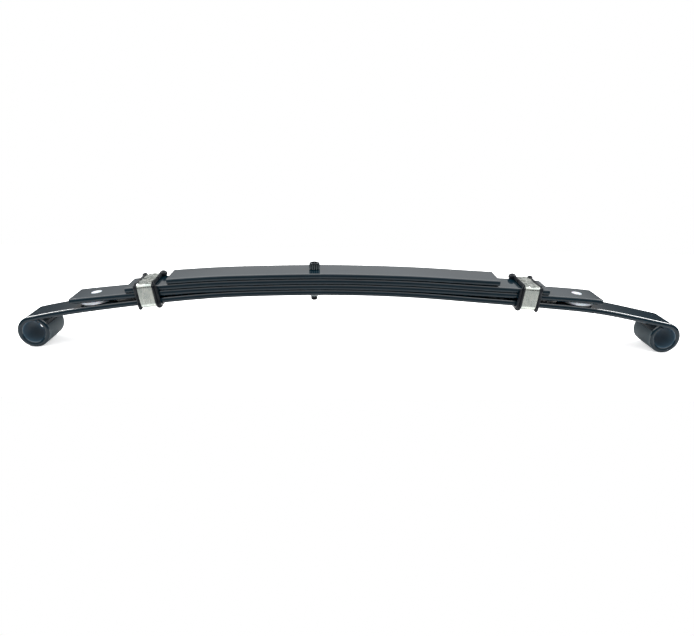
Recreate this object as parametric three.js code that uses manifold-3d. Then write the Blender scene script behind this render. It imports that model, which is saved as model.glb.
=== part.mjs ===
// A four-leaf semi-elliptic spring for a light vehicle, in millimetres.
// +X runs along the leaves towards the longer arm, +Y across them, +Z up.
// The spring stands on its two rolled eyes: the origin is midway between them, on the ground.
import * as THREE from "three";
import { mergeVertices } from "three/addons/utils/BufferGeometryUtils.js";
import Module from "manifold-3d";

// ---- Driving dimensions -------------------------------------------------------------------

const leafWidth = 44.45; // 1 3/4 in flat bar
const leafThickness = 6.35; // 1/4 in
const edgeChamfer = 0.8; // long edges of the bar
const eyeBore = 25.4; // 1 in, inside the rolled eye
const shortArm = 330; // centre bolt to the left eye
const longArm = 430; // centre bolt to the right eye
const camber = 30.6; // highest point of the main leaf's underside above the top of the eyes
const leadAngle = THREE.MathUtils.degToRad(12); // slope of the main leaf where it enters an eye
const leadLength = 36; // straight stretch before each eye
const curlGap = 1; // between a curl's end and the leaf above it

const clearance = 0.3; // between pieces that touch
const holeClearance = 0.3; // round a bolt or a button, on the radius

const secondLeafReach = { short: 284.5, long: 345.5 }; // centre bolt to each tip
const thirdLeafReach = { short: 219, long: 279.5 };
const topLeafReach = { short: 170.5, long: 219 };
const topLeafLift = 0.8; // how far the top leaf's long tip stands off the leaf below

const boltDiameter = 8;
const boltHead = { diameter: 13, height: 8, chamfer: 0.6 };
const boltSocket = { acrossFlats: 6, depth: 4 };
const boltBeyondNut = 5.3;
const boltEndChamfer = 1;
const nutHeight = 5.8;
const nutAcrossFlats = 13;

const clipReach = { short: 192.5, long: 255.2 }; // centre bolt to the middle of each clip
const bandWidth = 17.3;
const bandThickness = 1.6;
const bandCorner = 4.2; // outside bend radius
const bandSeam = 1.4; // gap where the folded arms meet
const linerThickness = 1;
const rimThickness = { outer: 2.6, inner: 6.4 }; // along the spring, away from and towards the bolt
const rimProud = { side: 2.2, top: 4.2, bottom: 1.2 }; // beyond the band
const rimCorner = 4;
const linerCorner = 0.3; // inside, where it sits on the leaves' edges
const earRadius = { outer: 2.2, inner: 3.2 };

const padReach = { short: 257, long: 319.5 }; // centre bolt to each tip pad
const padDiameter = 42;
const padHeight = 4.2;
const padDome = 0.6; // how far the middle of a pad stands below its rim
const padEdgeGap = 0.1; // least gap where the second leaf curves down to the pad's edge
const padDomeShares = [0.35, 0.65, 0.9]; // of the radius, where the dome underneath has a ring
const buttonDiameter = 12.4;
const padOpening = { start: 70, power: 1.4 }; // where the second leaf begins to lift, and how

const alongMain = 56; // steps along each leaf
const aroundEye = 20;
const roundSides = 32;
const earSides = 16;
const cornerSteps = 5;
const bisections = 40; // finds a station of the curve to far less than a micron

const drillLength = 200; // past both faces of every leaf
const overlap = 1; // of pieces joined into one solid

// Stations of the main leaf's underside: share of the arm, share of the camber.
const shortArmStations = [
  [0.72, 0.343],
  [0.51, 0.645],
  [0.333, 0.84],
  [0.19, 0.925],
  [0, 0.99],
];
const longArmStations = [
  [0.07, 1],
  [0.18, 0.984],
  [0.29, 0.925],
  [0.465, 0.752],
  [0.64, 0.572],
  [0.8, 0.356],
];

// ---- Derived places -----------------------------------------------------------------------

const boltX = (shortArm - longArm) / 2;
const boreRadius = eyeBore / 2;
const eyeRadius = boreRadius + leafThickness;
const eyeX = (shortArm + longArm) / 2;
const eyeTop = 2 * eyeRadius;

// ---- Booleans -----------------------------------------------------------------------------

const wasm = await Module();
wasm.setup();

function solidOf(geometry) {
  const bare = new THREE.BufferGeometry();
  bare.setAttribute("position", geometry.getAttribute("position"));
  if (geometry.index) bare.setIndex(geometry.index);
  const merged = mergeVertices(bare, 1e-4);
  return new wasm.Manifold(
    new wasm.Mesh({
      numProp: 3,
      vertProperties: new Float32Array(merged.attributes.position.array),
      triVerts: new Uint32Array(merged.index.array),
    }),
  );
}

function geometryOf(solid) {
  const { vertProperties, triVerts } = solid.getMesh();
  const geometry = new THREE.BufferGeometry();
  geometry.setAttribute("position", new THREE.BufferAttribute(vertProperties, 3));
  geometry.setIndex(new THREE.BufferAttribute(triVerts, 1));
  geometry.computeVertexNormals();
  return geometry;
}

const cut = (geometry, tool) => geometryOf(solidOf(geometry).subtract(solidOf(tool)));

const join = (geometry, other) => geometryOf(solidOf(geometry).add(solidOf(other)));

// ---- The curve that every leaf follows ----------------------------------------------------

function eyeLead(side, distance) {
  const x = side * (eyeX + boreRadius * Math.sin(leadAngle) - distance * Math.cos(leadAngle));
  const z = eyeRadius + boreRadius * Math.cos(leadAngle) + distance * Math.sin(leadAngle);
  return new THREE.Vector3(x, 0, z);
}

const station = (x, share) => new THREE.Vector3(x, 0, eyeTop + camber * share);

const underside = new THREE.CatmullRomCurve3(
  [
    eyeLead(-1, 0),
    eyeLead(-1, leadLength),
    ...shortArmStations.map(([arm, rise]) => station(boltX - arm * shortArm, rise)),
    ...longArmStations.map(([arm, rise]) => station(boltX + arm * longArm, rise)),
    eyeLead(1, leadLength),
    eyeLead(1, 0),
  ],
  false,
  "centripetal",
);

// The point of the underside at x, with the upward normal there.
function undersideAt(x) {
  let low = 0;
  let high = 1;
  for (let i = 0; i < bisections; i += 1) {
    const middle = (low + high) / 2;
    if (underside.getPoint(middle).x < x) low = middle;
    else high = middle;
  }
  const point = underside.getPoint(low);
  const tangent = underside.getTangent(low);
  return { point, normal: new THREE.Vector3(-tangent.z, 0, tangent.x) };
}

// How far the tip pad holds the second leaf off the main leaf, at x.
function padGap(x) {
  const out = Math.abs(x - boltX) - padOpening.start;
  const reach = x < boltX ? padReach.short : padReach.long;
  const share = Math.max(out, 0) / (reach - padOpening.start);
  return clearance + (padHeight + clearance) * share ** padOpening.power;
}

function topGap(x) {
  const out = Math.max(x - boltX - padOpening.start, 0);
  return clearance + (topLeafLift * out) / (topLeafReach.long - padOpening.start);
}

// Distance from the main leaf's underside to the underside of leaf 1, 2, 3 or 4.
function leafOffset(number, x) {
  if (number === 1) return 0;
  const second = leafThickness + padGap(x);
  if (number === 2) return second;
  const third = second + leafThickness + clearance;
  return number === 3 ? third : third + leafThickness + topGap(x);
}

const onLeaf = (x, offset) => {
  const { point, normal } = undersideAt(x);
  return point.clone().addScaledVector(normal, offset);
};

// The point of a leaf's own underside at x, with the upward normal there.
function leafFrame(number, x) {
  const [before, point, after] = [x - 1, x, x + 1].map((at) => onLeaf(at, leafOffset(number, at)));
  const tangent = after.sub(before).normalize();
  return { point, normal: new THREE.Vector3(-tangent.z, 0, tangent.x) };
}

// ---- Leaves -------------------------------------------------------------------------------

// Extrudes an outline of (x, z) points across the spring, centred on y = 0.
function acrossSpring(outline, width, chamfer) {
  const geometry = new THREE.ExtrudeGeometry(new THREE.Shape(outline), {
    depth: width - 2 * chamfer,
    bevelEnabled: chamfer > 0,
    bevelThickness: chamfer,
    bevelSize: chamfer,
    bevelOffset: -chamfer,
    bevelSegments: 1,
  });
  geometry.translate(0, 0, -width / 2 + chamfer);
  return geometry.rotateX(Math.PI / 2);
}

function uprightHole(x, diameter) {
  const middle = onLeaf(x, 0);
  const drill = new THREE.CylinderGeometry(diameter / 2, diameter / 2, drillLength, roundSides);
  drill.rotateX(Math.PI / 2);
  return drill.translate(x, 0, middle.z);
}

// A hole square to the second leaf at a pad's place.
function padHole(reach) {
  const { point, normal } = leafFrame(2, boltX + reach);
  const radius = buttonDiameter / 2 + holeClearance;
  const drill = new THREE.CylinderGeometry(radius, radius, padDiameter, roundSides);
  const turn = new THREE.Quaternion().setFromUnitVectors(new THREE.Vector3(0, 1, 0), normal);
  drill.applyQuaternion(turn);
  return drill.translate(point.x, 0, point.z);
}

const to2d = (point) => new THREE.Vector2(point.x, point.z);

function faceOf(number, from, to, extra) {
  const points = [];
  for (let i = 0; i <= alongMain; i += 1) {
    const x = THREE.MathUtils.lerp(from, to, i / alongMain);
    points.push(to2d(onLeaf(x, leafOffset(number, x) + extra)));
  }
  return points;
}

// A plain leaf, cut square at both tips. Its tips lie at the given reach at mid-thickness.
function plainLeaf(number, reach) {
  const stationFor = (tip) => {
    const { normal } = undersideAt(tip);
    return tip - normal.x * (leafOffset(number, tip) + leafThickness / 2);
  };
  const from = stationFor(boltX - reach.short);
  const to = stationFor(boltX + reach.long);
  const outline = [
    ...faceOf(number, from, to, 0),
    ...faceOf(number, to, from, leafThickness),
  ];
  return acrossSpring(outline, leafWidth, edgeChamfer);
}

// One arc of an eye's curl, from the lead-in round to the curl's end.
function curlArc(side, radius) {
  const start = Math.PI / 2 - leadAngle;
  const sweep = 2 * Math.PI - Math.acos((boreRadius - curlGap) / radius);
  const points = [];
  for (let i = 1; i <= aroundEye; i += 1) {
    const angle = start - (sweep * i) / aroundEye;
    const x = side * (eyeX + radius * Math.cos(angle));
    points.push(new THREE.Vector2(x, eyeRadius + radius * Math.sin(angle)));
  }
  return points;
}

function mainLeaf() {
  const ends = [eyeLead(-1, 0).x, eyeLead(1, 0).x];
  const outline = [
    ...faceOf(1, ends[0], ends[1], 0),
    ...curlArc(1, boreRadius),
    ...curlArc(1, eyeRadius).reverse(),
    ...faceOf(1, ends[1], ends[0], leafThickness),
    ...curlArc(-1, eyeRadius),
    ...curlArc(-1, boreRadius).reverse(),
  ];
  return acrossSpring(outline, leafWidth, edgeChamfer);
}

// ---- Centre bolt and nut ------------------------------------------------------------------

const boltSeatZ = onLeaf(boltX, leafOffset(4, boltX) + leafThickness).z + clearance;
const nutTopZ = onLeaf(boltX, 0).z - clearance;
const boltEndZ = nutTopZ - nutHeight - boltBeyondNut;

const profile = (...points) => points.map(([r, z]) => new THREE.Vector2(r, z));

function lathed(points) {
  return new THREE.LatheGeometry(points, roundSides).rotateX(Math.PI / 2);
}

function hexPrism(acrossFlats, height) {
  const radius = acrossFlats / Math.sqrt(3);
  return new THREE.CylinderGeometry(radius, radius, height, 6).rotateX(Math.PI / 2);
}

function centreBolt() {
  const shank = boltDiameter / 2;
  const head = boltHead.diameter / 2;
  const top = boltSeatZ + boltHead.height;
  const body = lathed(
    profile(
      [0, boltEndZ],
      [shank - boltEndChamfer, boltEndZ],
      [shank, boltEndZ + boltEndChamfer],
      [shank, boltSeatZ],
      [head, boltSeatZ],
      [head, top - boltHead.chamfer],
      [head - boltHead.chamfer, top],
      [0, top],
    ),
  );
  const socket = hexPrism(boltSocket.acrossFlats, 2 * boltSocket.depth).translate(0, 0, top);
  return cut(body, socket).translate(boltX, 0, 0);
}

function centreNut() {
  const body = hexPrism(nutAcrossFlats, nutHeight);
  const radius = boltDiameter / 2 + holeClearance;
  const hole = new THREE.CylinderGeometry(radius, radius, 2 * nutHeight, roundSides);
  hole.rotateX(Math.PI / 2);
  return cut(body, hole).translate(boltX, 0, nutTopZ - nutHeight / 2);
}

// ---- Clips --------------------------------------------------------------------------------

// Everything below is drawn in the clip's own frame: origin on the main leaf's underside, X along
// the leaf, Z square to it.
const stackHeight = (x) => leafOffset(3, x) + leafThickness;

function clipSizes(x) {
  const half = bandWidth / 2 + rimThickness.inner;
  const stack = Math.max(stackHeight(x - half), stackHeight(x + half));
  const inside = { side: leafWidth / 2 + clearance, top: stack + clearance, bottom: -clearance };
  const grown = (box, side, top, bottom) => ({
    side: box.side + side,
    top: box.top + top,
    bottom: box.bottom - bottom,
  });
  const evenly = (box, by) => grown(box, by, by, by);
  const liner = evenly(inside, linerThickness);
  const bandInside = evenly(liner, clearance);
  const band = evenly(bandInside, bandThickness);
  const rim = grown(band, rimProud.side, rimProud.top, rimProud.bottom);
  return { inside, liner, bandInside, band, rim };
}

function roundedBox(shape, box, radius) {
  const { side, top, bottom } = box;
  shape.moveTo(side, bottom + radius);
  shape.lineTo(side, top - radius);
  shape.absarc(side - radius, top - radius, radius, 0, Math.PI / 2);
  shape.lineTo(-side + radius, top);
  shape.absarc(-side + radius, top - radius, radius, Math.PI / 2, Math.PI);
  shape.lineTo(-side, bottom + radius);
  shape.absarc(-side + radius, bottom + radius, radius, Math.PI, 1.5 * Math.PI);
  shape.lineTo(side - radius, bottom);
  shape.absarc(side - radius, bottom + radius, radius, 1.5 * Math.PI, 2 * Math.PI);
  return shape;
}

// A closed hoop round the leaves, from x = start to start + length.
function hoop(outer, inner, outerCorner, innerCorner, start, length) {
  const shape = roundedBox(new THREE.Shape(), outer, outerCorner);
  shape.holes.push(roundedBox(new THREE.Path(), inner, innerCorner));
  const geometry = new THREE.ExtrudeGeometry(shape, {
    depth: length,
    bevelEnabled: false,
    curveSegments: cornerSteps,
  });
  const alongX = new THREE.Matrix4().makeBasis(
    new THREE.Vector3(0, 1, 0),
    new THREE.Vector3(0, 0, 1),
    new THREE.Vector3(1, 0, 0),
  );
  return geometry.applyMatrix4(alongX).translate(start, 0, 0);
}

// Opens a hoop at the middle of its top.
function seamed(geometry, top, width) {
  const height = bandThickness + linerThickness + rimProud.top + 4 * clearance;
  const slot = new THREE.BoxGeometry(4 * bandWidth, width, 2 * height);
  return cut(geometry, slot.translate(0, 0, top));
}

function clipBand(sizes) {
  const innerCorner = bandCorner - bandThickness;
  const band = hoop(
    sizes.band,
    sizes.bandInside,
    bandCorner,
    innerCorner,
    -bandWidth / 2,
    bandWidth,
  );
  return seamed(band, sizes.band.top, bandSeam);
}

// inward is +1 where the bolt lies towards +X of the clip, and -1 where it lies towards -X.
function clipLiner(sizes, inward) {
  const corner = bandCorner - bandThickness - clearance;
  const edge = bandWidth / 2 + clearance;
  const sleeveStart = -edge - overlap;
  const sleeve = hoop(sizes.liner, sizes.inside, corner, linerCorner, sleeveStart, -2 * sleeveStart);
  const rims = [
    { side: inward, thickness: rimThickness.inner, ear: earRadius.inner },
    { side: -inward, thickness: rimThickness.outer, ear: earRadius.outer },
  ];
  let liner = sleeve;
  rims.forEach(({ side, thickness, ear }) => {
    const start = side > 0 ? edge : -edge - thickness;
    const rim = hoop(sizes.rim, sizes.inside, rimCorner, linerCorner, start, thickness);
    const lug = new THREE.CylinderGeometry(ear, ear, thickness, earSides).rotateZ(Math.PI / 2);
    lug.translate(start + thickness / 2, sizes.rim.side - ear, sizes.rim.top - ear / 2);
    liner = join(join(liner, rim), lug);
  });
  return seamed(liner, sizes.rim.top, bandSeam + 2 * clearance);
}

// ---- Tip pads -----------------------------------------------------------------------------

// How far the second leaf's underside curves below its tangent plane, over a pad at x.
function padDip(x) {
  const { point, normal } = leafFrame(2, x);
  const rises = [-1, 1].map((side) => {
    const at = x + (side * padDiameter) / 2;
    return onLeaf(at, leafOffset(2, at)).sub(point).dot(normal);
  });
  return Math.max(0, ...rises.map((rise) => -rise));
}

// Hangs under the second leaf at x, in a frame with its origin on that leaf's underside and Z square
// to it.
function tipPad(x) {
  const top = -Math.max(clearance, padDip(x) + padEdgeGap);
  const low = top - padHeight + padDome;
  const button = buttonDiameter / 2;
  const pad = padDiameter / 2;
  const dome = padDomeShares.map((share) => [
    pad * share,
    low - padDome * (1 - share ** 2),
  ]);
  const points = profile(
    [0, top - padHeight],
    ...dome,
    [pad, low],
    [pad, top],
    [button, top],
    [button, leafThickness],
    [0, leafThickness],
  );
  return lathed(points);
}

// ---- Materials and assembly ---------------------------------------------------------------

const paint = { color: 0x1b1e22, roughness: 0.22, metalness: 0 };
const zinc = { color: 0xc4c6c0, roughness: 0.35, metalness: 1 };
const rubber = { color: 0x0d0e0f, roughness: 0.6, metalness: 0 };
const nylon = { color: 0xf1f1ec, roughness: 0.45, metalness: 0 };
const boltSteel = { color: 0x24282b, roughness: 0.35, metalness: 0.8 };

function named(name, geometry, material) {
  const mesh = new THREE.Mesh(geometry, new THREE.MeshStandardMaterial(material));
  mesh.name = name;
  return mesh;
}

// A group with its origin on a leaf's underside at x, square to it.
function squareToLeaf(number, x, ...meshes) {
  const { point, normal } = leafFrame(number, x);
  const group = new THREE.Group();
  group.position.copy(point);
  group.rotation.y = Math.atan2(normal.x, normal.z);
  group.add(...meshes);
  return group;
}

const spring = new THREE.Group();

const boltHole = uprightHole(boltX, boltDiameter + 2 * holeClearance);
const padHoles = join(padHole(-padReach.short), padHole(padReach.long));
spring.add(
  named("main_leaf", cut(mainLeaf(), boltHole), paint),
  named("second_leaf", cut(cut(plainLeaf(2, secondLeafReach), boltHole), padHoles), paint),
  named("third_leaf", cut(plainLeaf(3, thirdLeafReach), boltHole), paint),
  named("top_leaf", cut(plainLeaf(4, topLeafReach), boltHole), paint),
  named("centre_bolt", centreBolt(), boltSteel),
  named("centre_nut", centreNut(), boltSteel),
);

const arms = [
  { name: "short_arm", x: -1, reach: "short" },
  { name: "long_arm", x: 1, reach: "long" },
];
arms.forEach(({ name, x: side, reach }) => {
  const clipX = boltX + side * clipReach[reach];
  const sizes = clipSizes(clipX);
  spring.add(
    squareToLeaf(
      1,
      clipX,
      named(`clip_band_${name}`, clipBand(sizes), zinc),
      named(`clip_liner_${name}`, clipLiner(sizes, -side), rubber),
    ),
  );
  const padX = boltX + side * padReach[reach];
  spring.add(squareToLeaf(2, padX, named(`tip_pad_${name}`, tipPad(padX), nylon)));
});

export default spring;
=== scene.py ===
# %% [markdown]
# # A four-leaf semi-elliptic spring
# A leaf spring is a stack of flat steel bars, held by one bolt near the middle. The longest bar, the
# main leaf, ends in two rolled eyes, and the whole stack hangs on them. Two clips keep the leaves in
# line, and nylon pads keep the tips from grinding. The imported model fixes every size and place, so
# this script loads it first and then makes the finished pieces round it, in metres.

# %% Load the frame
import math

import bmesh
import bpy
import numpy as np
from mathutils import Matrix, Vector, noise


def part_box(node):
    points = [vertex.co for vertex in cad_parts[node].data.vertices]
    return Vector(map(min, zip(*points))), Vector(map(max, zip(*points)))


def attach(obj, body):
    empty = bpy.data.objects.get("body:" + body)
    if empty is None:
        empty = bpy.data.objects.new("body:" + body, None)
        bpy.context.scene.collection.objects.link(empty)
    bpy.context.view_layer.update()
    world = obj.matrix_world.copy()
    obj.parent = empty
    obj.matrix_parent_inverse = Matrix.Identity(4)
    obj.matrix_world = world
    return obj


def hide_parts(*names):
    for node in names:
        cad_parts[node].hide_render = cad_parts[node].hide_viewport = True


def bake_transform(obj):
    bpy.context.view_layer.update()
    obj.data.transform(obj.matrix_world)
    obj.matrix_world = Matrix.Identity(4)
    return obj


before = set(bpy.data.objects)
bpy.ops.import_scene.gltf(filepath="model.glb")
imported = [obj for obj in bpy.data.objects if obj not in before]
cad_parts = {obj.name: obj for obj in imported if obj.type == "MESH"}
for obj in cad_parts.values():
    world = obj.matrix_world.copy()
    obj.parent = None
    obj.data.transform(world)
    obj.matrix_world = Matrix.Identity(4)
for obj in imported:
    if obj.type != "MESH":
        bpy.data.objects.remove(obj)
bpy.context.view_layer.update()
scene = bpy.context.scene

# %% [markdown]
# ## Sizes
# The bar is 1 3/4 in by 1/4 in, the commonest stock for a light spring. Everything else on the spring
# follows from it: the eyes are rolled round a 1 in mandrel, and the clips are folded round three bars.

# %% Sizes of the bar, the eyes and the stack
MM = 0.001
BAR_WIDTH = 44.45 * MM
BAR_THICKNESS = 6.35 * MM
BORE_RADIUS = 12.7 * MM
EYE_RADIUS = BORE_RADIUS + BAR_THICKNESS
SHORT_ARM = 330 * MM
LONG_ARM = 430 * MM
BOLT_X = (SHORT_ARM - LONG_ARM) / 2
EYE_X = (SHORT_ARM + LONG_ARM) / 2
CAMBER = 30.6 * MM
LEAD_ANGLE = math.radians(12)
LEAD_LENGTH = 36 * MM
CLEARANCE = 0.3 * MM
REACH = {  # from the centre bolt to each leaf's tips
    2: (284.5 * MM, 345.5 * MM),
    3: (219 * MM, 279.5 * MM),
    4: (170.5 * MM, 219 * MM),
}
CLIP_REACH = (192.5 * MM, 255.2 * MM)
PAD_REACH = (257 * MM, 319.5 * MM)
PAD_HEIGHT = 4.2 * MM
print(f"bolt at x = {BOLT_X * 1000:.0f} mm, eyes at x = +-{EYE_X * 1000:.0f} mm")

# %% [markdown]
# ## The curve of the stack
# A leaf is bent in a press, so its curve is smooth: a painted bar shows the smallest kink as a break in
# its reflections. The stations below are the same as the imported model's. The spline through them is
# then faired, which means averaged over a short length, so that its curvature changes gradually.

# %% The main leaf's underside, from eye to eye
SHORT_STATIONS = [(0.72, 0.343), (0.51, 0.645), (0.333, 0.84), (0.19, 0.925), (0, 0.99)]
LONG_STATIONS = [(0.07, 1), (0.18, 0.984), (0.29, 0.925), (0.465, 0.752), (0.64, 0.572), (0.8, 0.356)]


def eye_lead(side, distance):
    """A point of the straight stretch that leads into an eye, on the leaf's underside."""
    x = side * (EYE_X + BORE_RADIUS * math.sin(LEAD_ANGLE) - distance * math.cos(LEAD_ANGLE))
    return (x, EYE_RADIUS + BORE_RADIUS * math.cos(LEAD_ANGLE) + distance * math.sin(LEAD_ANGLE))


def spline(points, steps=60):
    """A centripetal spline through the points, as many (x, z) samples."""
    p = np.array(points)
    p = np.vstack([2 * p[0] - p[1], p, 2 * p[-1] - p[-2]])
    samples = []
    for a, b, c, d in zip(p, p[1:], p[2:], p[3:]):
        t0, t1, t2 = (np.sqrt(np.linalg.norm(v)) for v in (b - a, c - b, d - c))
        m1 = t1 * ((b - a) / t0 - (c - a) / (t0 + t1) + (c - b) / t1)
        m2 = t1 * ((c - b) / t1 - (d - b) / (t1 + t2) + (d - c) / t2)
        for t in np.linspace(0, 1, steps, endpoint=False):
            start, leave = 2 * t**3 - 3 * t**2 + 1, t**3 - 2 * t**2 + t
            end, arrive = 3 * t**2 - 2 * t**3, t**3 - t**2
            samples.append(start * b + leave * m1 + end * c + arrive * m2)
    samples.append(p[-2])
    return np.array(samples)


EYE_TOP = 2 * EYE_RADIUS
stations = [eye_lead(-1, 0), eye_lead(-1, LEAD_LENGTH)]
stations += [(BOLT_X - arm * SHORT_ARM, EYE_TOP + CAMBER * rise) for arm, rise in SHORT_STATIONS]
stations += [(BOLT_X + arm * LONG_ARM, EYE_TOP + CAMBER * rise) for arm, rise in LONG_STATIONS]
stations += [eye_lead(1, LEAD_LENGTH), eye_lead(1, 0)]
raw = spline(stations)
print(f"{len(stations)} stations make {len(raw)} samples of the curve")

# %% Fair the curve
GRID = np.linspace(raw[0, 0], raw[-1, 0], 3001)
GRID_STEP = GRID[1] - GRID[0]


FAIRING = 9 * MM


def faired(z, reach=FAIRING):
    """z averaged along the leaf with a bell-shaped weight. The ends carry on along their own slopes."""
    half = int(3 * reach / GRID_STEP)
    weight = np.exp(-0.5 * (np.arange(-half, half + 1) * GRID_STEP / reach) ** 2)
    steps = np.arange(half, 0, -1)
    before = z[0] - steps * (z[1] - z[0])
    after = z[-1] + steps[::-1] * (z[-1] - z[-2])
    return np.convolve(np.concatenate([before, z, after]), weight / weight.sum(), mode="valid")


under = faired(np.interp(GRID, raw[:, 0], raw[:, 1]))
slope = np.gradient(under, GRID)
moved = np.abs(under - np.interp(GRID, *raw.T)).max()
print(f"fairing moved the curve by at most {moved * 1e6:.0f} microns")

# %% [markdown]
# Near the bolt the leaves lie on each other. The second leaf then lifts gradually, to make room for
# the pads, and the top leaf lifts a little towards its long tip.

# %% The gaps between the leaves
OPENING_START = 70 * MM
OPENING_POWER = 1.4
TOP_LEAF_LIFT = 0.8 * MM


def gap_under(number, x):
    """How far leaf 2 stands off leaf 1, leaf 3 off leaf 2, or leaf 4 off leaf 3, at x."""
    arm = np.where(x < BOLT_X, PAD_REACH[0], PAD_REACH[1])
    if number == 2:
        out = np.clip(np.abs(x - BOLT_X) - OPENING_START, 0, None)
        return CLEARANCE + (PAD_HEIGHT + CLEARANCE) * (out / (arm - OPENING_START)) ** OPENING_POWER
    if number == 3:
        return CLEARANCE + 0 * x
    out = np.clip(x - BOLT_X - OPENING_START, 0, None)
    return CLEARANCE + TOP_LEAF_LIFT * out / (REACH[4][1] - OPENING_START)


offsets = {1: 0 * GRID}
for leaf in (2, 3, 4):
    offsets[leaf] = faired(offsets[leaf - 1] + BAR_THICKNESS + gap_under(leaf, GRID))


def on_leaf(number, x, height=0.0):
    """The (x, z) point above a leaf's own underside, measured square to the main leaf at x."""
    m = np.interp(x, GRID, slope)
    lift = np.interp(x, GRID, offsets[number]) + height
    length = np.sqrt(1 + m * m)
    return np.stack([x - lift * m / length, np.interp(x, GRID, under) + lift / length], -1)


def leaf_place(number, x):
    """A matrix whose origin is on a leaf's underside at x, with Z square to the leaf."""
    before, here, after = on_leaf(number, np.array([x - MM, x, x + MM]))
    along = (after - before) / np.linalg.norm(after - before)
    turn = Matrix(((along[0], 0, -along[1]), (0, 1, 0), (along[1], 0, along[0]))).to_4x4()
    return Matrix.Translation((here[0], 0, here[1])) @ turn


seat = on_leaf(4, np.array([BOLT_X]), BAR_THICKNESS)[0]
stack_height = seat[1] - on_leaf(1, np.array([BOLT_X]))[0, 1]
print(f"the stack is {stack_height * 1000:.1f} mm high at the bolt")

# %% [markdown]
# ## How the pieces move
# A spring works by bending. In the imported model the bolted pack slides down while the eyes stay put.
# Here the pieces on the arms are plain meshes, and the bolt and nut ride on the pack. Each leaf is
# made as two halves, one for each arm, that meet at the centre bolt, where the real leaf is drilled.

# %% The two arms
EYE_END = EYE_X - 23 * MM
BOLT_SEAT = 8 * MM
ARMS = {
    "short_arm": {"side": -1, "start": (-EYE_END, 0, 0), "end": (BOLT_X - BOLT_SEAT, 0, 0)},
    "long_arm": {"side": 1, "start": (EYE_END, 0, 0), "end": (BOLT_X + BOLT_SEAT, 0, 0)},
}


def finish_piece(obj, arm, slot, *nodes):
    """Hides the CAD nodes that a piece stands for. A piece on an arm gets its place baked into its mesh;
    any other piece rides on the pack.
    """
    if arm:
        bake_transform(obj)
    else:
        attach(obj, "pack")
    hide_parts(*nodes)
    triangles = sum(len(p.vertices) - 2 for p in obj.data.polygons)
    print(f"{obj.name}: {triangles} triangles")
    return obj


# %% [markdown]
# ## Materials
# Every finish is made of nodes that read Object coordinates, in metres. A small helper adds nodes by
# type, so that each finish reads as a short list of what the surface has.

# %% A helper for node materials
class Finish:
    """A material with a Principled shader, and short calls that add nodes to it."""

    def __init__(self, name, colour, roughness, metallic=0.0, ior=1.5):
        self.material = bpy.data.materials.new(name)
        self.material.use_nodes = True
        self.tree = self.material.node_tree
        self.shader = self.tree.nodes["Principled BSDF"]
        self.set(self.shader, {"Base Color": (*colour, 1), "Roughness": roughness})
        self.set(self.shader, {"Metallic": metallic, "IOR": ior})
        self.place = self.tree.nodes.new("ShaderNodeTexCoord").outputs["Object"]

    def set(self, node, inputs):
        for key, value in inputs.items():
            if isinstance(value, bpy.types.NodeSocket):
                self.tree.links.new(value, node.inputs[key])
            else:
                node.inputs[key].default_value = value
        return node

    def add(self, kind, inputs=None, **settings):
        node = self.tree.nodes.new("ShaderNode" + kind)
        for key, value in settings.items():
            setattr(node, key, value)
        return self.set(node, inputs or {})

    def stretched(self, scale):
        return self.add("Mapping", {"Vector": self.place, "Scale": scale}).outputs["Vector"]

    def noise(self, scale, detail=2.0, roughness=0.5, vector=None):
        inputs = {"Scale": scale, "Detail": detail, "Roughness": roughness}
        return self.add("TexNoise", {"Vector": vector or self.place, **inputs}).outputs["Fac"]

    def between(self, value, low, high, to_low, to_high):
        """value from low..high brought smoothly to to_low..to_high."""
        node = self.add("MapRange", {"Value": value}, interpolation_type="SMOOTHSTEP")
        self.set(node, {"From Min": low, "From Max": high, "To Min": to_low, "To Max": to_high})
        return node.outputs["Result"]

    def calc(self, operation, a, b=0.0, c=0.0):
        return self.add("Math", {0: a, 1: b, 2: c}, operation=operation).outputs[0]

    def distance(self, a, b):
        """The distance from an axis, where a and b are measured square to it."""
        square = self.calc("ADD", self.calc("MULTIPLY", a, a), self.calc("MULTIPLY", b, b))
        return self.calc("SQRT", square)

    def mixed(self, factor, first, second):
        node = self.add("Mix", data_type="RGBA")
        for key, value in (("Factor_Float", factor), ("A_Color", first), ("B_Color", second)):
            socket = next(s for s in node.inputs if s.identifier == key)
            if isinstance(value, bpy.types.NodeSocket):
                self.tree.links.new(value, socket)
            else:
                socket.default_value = (*value, 1)
        return next(s for s in node.outputs if s.identifier == "Result_Color")

    def bump(self, height, distance, strength=1.0, under=None):
        inputs = {"Height": height, "Distance": distance, "Strength": strength}
        if under:
            inputs["Normal"] = under
        return self.add("Bump", inputs).outputs["Normal"]

    def wear(self, **inputs):
        self.set(self.shader, {key.replace("_", " "): value for key, value in inputs.items()})
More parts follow.
